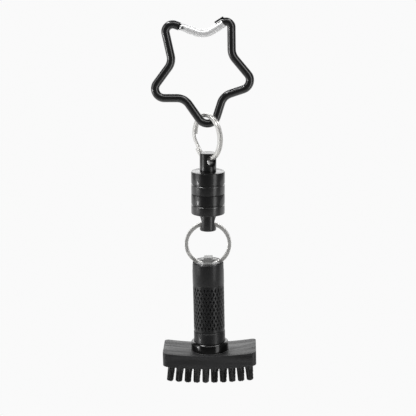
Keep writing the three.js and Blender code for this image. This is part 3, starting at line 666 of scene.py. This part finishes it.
head = arched_head()
bevel(head, 0.45, 4, 40)
pad = turned(
    "pad",
    (
        (PAD_RADIUS, PAD_TOP - 4.15),
        (PAD_RADIUS, PAD_TOP - 0.15),
        (PAD_RADIUS - 0.15, PAD_TOP),
        (PEG_RADIUS, PAD_TOP),
        (PEG_RADIUS, PAD_TOP + PEG_LENGTH),
    ),
)
weld(head, pad)
smooth(head)
hang(head)

# ------------------------------------------------------------------ bristles


def filament_tuft(name, seed):
    """A tuft of nylon filaments, tips down at the row's origin, packed like a sunflower's seeds."""
    chance = random.Random(seed)
    bpy.ops.object.select_all(action="DESELECT")
    bpy.ops.mesh.primitive_circle_add(
        vertices=8, radius=BUNDLE_RADIUS * MM, fill_type="NOTHING", location=(0, 0, BUNDLE_BOTTOM * MM)
    )
    tuft = start(name)
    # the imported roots, seen as one dark bundle between the outer filaments
    pull((0, 0, BUNDLE_LENGTH * MM))
    bpy.ops.mesh.select_all(action="SELECT")
    bpy.ops.mesh.fill_holes(sides=0)
    for index in range(FILAMENTS):
        spread = math.sqrt((index + 0.5) / FILAMENTS)
        angle = index * GOLDEN_ANGLE + chance.uniform(-0.08, 0.08)
        out = (TUFT_RADIUS - FILAMENT_RADIUS - 0.06) * spread
        tip = 0.1 + 0.45 * spread**4 + chance.uniform(0, 0.28)
        lean = chance.gauss(0, 0.006)
        lean_across = chance.gauss(0, 0.006)
        bpy.ops.mesh.primitive_cylinder_add(
            vertices=6,
            radius=FILAMENT_RADIUS * MM,
            depth=(TUFT_ROOT - tip) * MM,
            location=Vector((out * math.cos(angle), out * math.sin(angle), (TUFT_ROOT + tip) / 2)) * MM,
            rotation=(lean, lean_across, chance.uniform(0, 1)),
        )
    close_up(tuft)
    return smooth(tuft, 50)


patterns = [filament_tuft(f"tuft_pattern_{k + 1}", 40 + k) for k in range(TUFT_PATTERNS)]
tufts = []
shuffle = random.Random(7)
for row in range(ROWS):
    for column in range(COLUMNS):
        alone(patterns[shuffle.randrange(len(patterns))])
        bpy.ops.object.duplicate()
        tuft = bpy.context.object
        tuft.name = f"bristles_{row + 1}_{column + 1}"
        tuft.data.name = tuft.name
        angle = (column - (COLUMNS - 1) / 2) * COLUMN_PITCH / ARCH_CENTRE
        y = (row - (ROWS - 1) / 2) * ROW_PITCH
        tuft.matrix_world = (
            Matrix.Translation(place(0, 0, ARCH_CENTRE))
            @ Matrix.Rotation(-angle, 4, "Y")
            @ Matrix.Translation(Vector((0, y, -ARCH_CENTRE)) * MM)
            @ Matrix.Rotation(shuffle.uniform(0, 2 * math.pi), 4, "Z")
        )
        hang(tuft)
        tufts.append((tuft, f"tuft_{row + 1}_{column + 1}"))
for pattern in patterns:
    alone(pattern)
    bpy.ops.object.delete()

# ------------------------------------------------------------------ materials


def linear(value):
    return value / 12.92 if value <= 0.04045 else ((value + 0.055) / 1.055) ** 2.4


def colour(text):
    """An sRGB colour such as #1b1b1c, as linear red, green, blue and alpha."""
    return tuple(linear(int(text[i : i + 2], 16) / 255) for i in (1, 3, 5)) + (1.0,)


def material(name, base, roughness, metallic=0.0, **sockets):
    made = bpy.data.materials.new(name)
    made.use_nodes = True
    shader = made.node_tree.nodes["Principled BSDF"]
    shader.inputs["Base Color"].default_value = colour(base)
    shader.inputs["Roughness"].default_value = roughness
    shader.inputs["Metallic"].default_value = metallic
    for socket, value in sockets.items():
        shader.inputs[socket].default_value = value
    return made


def node(made, kind, links=None, **settings):
    """Adds a node, with its settings as attributes or input values and its links as input name to output."""
    added = made.node_tree.nodes.new(kind)
    for name, value in settings.items():
        if hasattr(added, name):
            setattr(added, name, value)
        else:
            added.inputs[name.replace("_", " ")].default_value = value
    for name, output in (links or {}).items():
        made.node_tree.links.new(output, added.inputs[name])
    return added


def shader_of(made):
    return made.node_tree.nodes["Principled BSDF"]


def plug_in(made, output, socket):
    made.node_tree.links.new(output, shader_of(made).inputs[socket])


def per(width, height=None, depth=None):
    """How often a pattern repeats in a metre along x, y and z, from its size there in millimetres."""
    return tuple(1 / (size * MM) for size in (width, height or width, depth or height or width))


# Bent aluminium rod, polished and then black anodised: a deep black with hard, thin lines of light
gloss_black = material("gloss black anodised rod", "#070708", 0.24, IOR=1.8)
# Clear anodised aluminium, tumbled bright: nearly white, with soft reflections
polished = material("polished gate aluminium", "#fdfdfd", 0.36, metallic=0.45)
# Drawn steel left bare: the darkest of the bright metals
pin_steel = material("plain steel pin", "#a3a3a3", 0.3, metallic=1.0)
# Flat spring wire, rolled and nickel plated: silvery, a little warm, lights smeared along the coil
nickel = material("nickel plated wire", "#e6e5e2", 0.3, metallic=0.65)
# Sintered magnet, ground flat and nickel plated: a clear mirror
magnet_plate = material("nickel plated magnet", "#c9c8c5", 0.2, metallic=1.0)
# Turned aluminium, black anodised and sealed: matt under a thin gloss, so lights have a sharp core
satin_black = material(
    "satin black anodised coupling",
    "#070708",
    0.36,
    IOR=1.55,
    **{"Coat Weight": 0.4, "Coat Roughness": 0.1},
)
# The same finish on drawn tube, sealed less: a shade greyer and softer than the coupling
handle_black = material(
    "satin black anodised handle",
    "#161617",
    0.44,
    IOR=1.45,
    **{"Coat Weight": 0.15, "Coat Roughness": 0.1},
)
# Aluminium milled and left bare: mid grey, with no clear reflections
bare_milled = material("machined eye plug", "#a0a09f", 0.5, metallic=0.5)
# Moulded acetal from a polished mould: a wet-looking black
collar_black = material("gloss black moulded collar", "#070707", 0.18)
# Moulded ABS from a plain mould: dark grey with an eggshell sheen
head_black = material("dark moulded head", "#272728", 0.5)
# Drawn nylon 6: soft black, its round filaments each with a faint line of light
nylon = material("black nylon filament", "#121212", 0.45)

# The head's top has faint streaks along its length, from the way the plastic filled the mould
STREAK_LENGTH, STREAK_WIDTH = 40, 2.38
place_on_head = node(head_black, "ShaderNodeTexCoord")
drawn_out = node(
    head_black,
    "ShaderNodeMapping",
    {"Vector": place_on_head.outputs["Object"]},
    Scale=per(STREAK_LENGTH, STREAK_WIDTH),
)
flow = node(head_black, "ShaderNodeTexNoise", {"Vector": drawn_out.outputs["Vector"]}, Scale=1.0, Detail=3.0)
streaks = node(head_black, "ShaderNodeValToRGB", {"Fac": flow.outputs["Fac"]})
streaks.color_ramp.elements[0].position = 0.35
streaks.color_ramp.elements[0].color = colour("#1e1e1f")
streaks.color_ramp.elements[1].position = 0.65
streaks.color_ramp.elements[1].color = colour("#303031")
plug_in(head_black, streaks.outputs["Color"], "Base Color")
sheen = node(head_black, "ShaderNodeMapRange", {"Value": flow.outputs["Fac"]})
sheen.inputs["From Min"].default_value = 0.35
sheen.inputs["From Max"].default_value = 0.65
sheen.inputs["To Min"].default_value = 0.42
sheen.inputs["To Max"].default_value = 0.6
plug_in(head_black, sheen.outputs["Result"], "Roughness")

# Turning marks: fine rings round the coupling and the handle. Real ones are a tenth of a millimetre
# apart, and they are drawn at a quarter so that they show
MARK_PITCH, MARK_LENGTH = 0.25, 125
for turned_look in (satin_black, handle_black):
    plain = shader_of(turned_look).inputs["Roughness"].default_value
    spot = node(turned_look, "ShaderNodeTexCoord")
    squashed = node(
        turned_look,
        "ShaderNodeMapping",
        {"Vector": spot.outputs["Object"]},
        Scale=per(MARK_LENGTH, MARK_LENGTH, MARK_PITCH),
    )
    rings = {"Vector": squashed.outputs["Vector"]}
    marks = node(turned_look, "ShaderNodeTexNoise", rings, Scale=1.0, Detail=2.0)
    span = node(turned_look, "ShaderNodeMapRange", {"Value": marks.outputs["Fac"]})
    span.inputs["To Min"].default_value = plain - 0.08
    span.inputs["To Max"].default_value = plain + 0.08
    plug_in(turned_look, span.outputs["Result"], "Roughness")

# Each filament is a little lighter or darker than the next, so the tone changes about once a filament
TONE_WIDTH, TONE_LENGTH = 0.385, 33.3
own_place = node(nylon, "ShaderNodeTexCoord")
across = node(
    nylon,
    "ShaderNodeMapping",
    {"Vector": own_place.outputs["Object"]},
    Scale=per(TONE_WIDTH, TONE_WIDTH, TONE_LENGTH),
)
grain = node(nylon, "ShaderNodeTexNoise", {"Vector": across.outputs["Vector"]}, Scale=1.0, Detail=1.0)
tones = node(nylon, "ShaderNodeValToRGB", {"Fac": grain.outputs["Fac"]})
tones.color_ramp.elements[0].position = 0.4
tones.color_ramp.elements[0].color = colour("#0b0b0b")
tones.color_ramp.elements[1].position = 0.62
tones.color_ramp.elements[1].color = colour("#2c2c2c")
plug_in(nylon, tones.outputs["Color"], "Base Color")

dressed = (
    (star, "carabiner", "carabiner_frame", gloss_black, ["carabiner_frame"]),
    (rivet_pin, "carabiner", "steel_pins", pin_steel, ["gate_rivet"]),
    (gate, "gate", "carabiner_gate", polished, ["carabiner_gate"]),
    (plunger, "plunger", "steel_pins", pin_steel, ["gate_plunger"]),
    (upper_magnet, "coupling_upper", "magnet", magnet_plate, ["coupling_upper_magnet"]),
    (lower_magnet, "lower_magnet", "magnet", magnet_plate, ["coupling_lower_magnet"]),
    (upper_ring, "upper_ring", "split_ring", nickel, ["upper_split_ring"]),
    (lower_ring, "lower_ring", "split_ring", nickel, ["lower_split_ring"]),
    (upper_half, "coupling_upper", "coupling", satin_black, ["coupling_upper_body"]),
    (lower_half, "coupling_lower", "coupling", satin_black, ["coupling_lower_body"]),
    (tube, "brush", "handle", handle_black, ["handle_tube"]),
    (plug, "brush", "eye_plug", bare_milled, ["handle_eye_plug"]),
    (collar, "brush", "collar", collar_black, ["collar"]),
    (head, "brush", "head", head_black, ["brush_head"]),
)
for piece, body, slot, look, nodes in dressed:
    piece.data.materials.clear()
    piece.data.materials.append(look)
    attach(piece, body)
    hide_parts(*nodes)
for tuft, tuft_node in tufts:
    tuft.data.materials.clear()
    tuft.data.materials.append(nylon)
    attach(tuft, "brush")
    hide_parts(tuft_node)

# ------------------------------------------------------------------ studio


def soft_box(name, size, power, position, aim):
    """A rectangular soft box, its size in metres, facing the point it is aimed at."""
    bpy.ops.object.light_add(type="AREA", location=position)
    box = bpy.context.object
    box.name = name
    box.data.shape = "RECTANGLE"
    box.data.size, box.data.size_y = size
    box.data.energy = power
    box.rotation_euler = (Vector(aim) - Vector(position)).to_track_quat("-Z", "Y").to_euler()
    return box


def sheet_of_floor(name, size, location, look):
    bpy.ops.object.select_all(action="DESELECT")
    bpy.ops.mesh.primitive_plane_add(size=1, location=location)
    sheet = bpy.context.object
    sheet.name = name
    sheet.scale = (size[0], size[1], 1)
    bpy.ops.object.transform_apply(location=True, rotation=True, scale=True)
    sheet.data.materials.append(look)
    return sheet


FLOOR_HEIGHT = -0.8  # metres
pale = material("pale studio floor", "#f4f4f4", 0.9)
sheet_of_floor("studio_floor", (12, 6), (0, -2.8, FLOOR_HEIGHT), pale)

# Behind the object the floor is a lit white sweep, which runs back and then up
lit_white = material("lit white sweep", "#ffffff", 0.9)
shader_of(lit_white).inputs["Base Color"].default_value = (0, 0, 0, 1)
shader_of(lit_white).inputs["Emission Color"].default_value = (1, 1, 1, 1)
shader_of(lit_white).inputs["Emission Strength"].default_value = 0.955
shader_of(lit_white).inputs["Specular IOR Level"].default_value = 0
sweep = sheet_of_floor("white_sweep", (12, 5), (0, 2.7, FLOOR_HEIGHT), lit_white)
bpy.ops.object.mode_set(mode="EDIT")
bpy.ops.mesh.select_mode(type="EDGE")
bpy.ops.mesh.select_all(action="DESELECT")
bpy.ops.object.mode_set(mode="OBJECT")
for edge in sweep.data.edges:
    edge.select = all(sweep.data.vertices[i].co.y > 5 for i in edge.vertices)
bpy.ops.object.mode_set(mode="EDIT")
pull((0, 0, 4.5))
bpy.ops.object.mode_set(mode="OBJECT")

world = bpy.data.worlds.new("studio")
bpy.context.scene.world = world
world.use_nodes = True
world.node_tree.nodes["Background"].inputs["Color"].default_value = (1, 1, 1, 1)
world.node_tree.nodes["Background"].inputs["Strength"].default_value = 0.1

middle = (0, 0, -0.07)
soft_box("left soft box", (0.5, 1.2), 2.7, (-0.88, -0.19, 0.0), middle)
soft_box("right soft box", (0.26, 1.3), 2.4, (0.55, -0.5, 0.0), middle)
soft_box("small left light", (0.1, 0.1), 0.7, (-0.84, -0.24, -0.2), (0, 0, -0.02))
soft_box("top front soft box", (1.1, 0.22), 2.3, (0.12, -0.38, 0.78), middle)
soft_box("back soft box", (3.0, 1.0), 17.0, (0, 2.2, 0.8), middle)
soft_box("left overhead", (0.22, 0.22), 4.5, (-0.48, -0.03, 0.85), middle)
soft_box("right overhead", (0.2, 0.2), 1.6, (0.48, -0.03, 0.85), middle)

LOOK_DOWN = 13.3
camera = bpy.data.objects.new("camera", bpy.data.cameras.new("camera"))
bpy.context.scene.collection.objects.link(camera)
camera.location = (0, -0.520, 0.054)
camera.rotation_euler = (math.radians(90 - LOOK_DOWN), 0, 0)
camera.data.sensor_width = 36
camera.data.lens = 108.4
camera.data.shift_y = -0.017
bpy.context.scene.camera = camera
bpy.context.scene.view_settings.view_transform = "Standard"
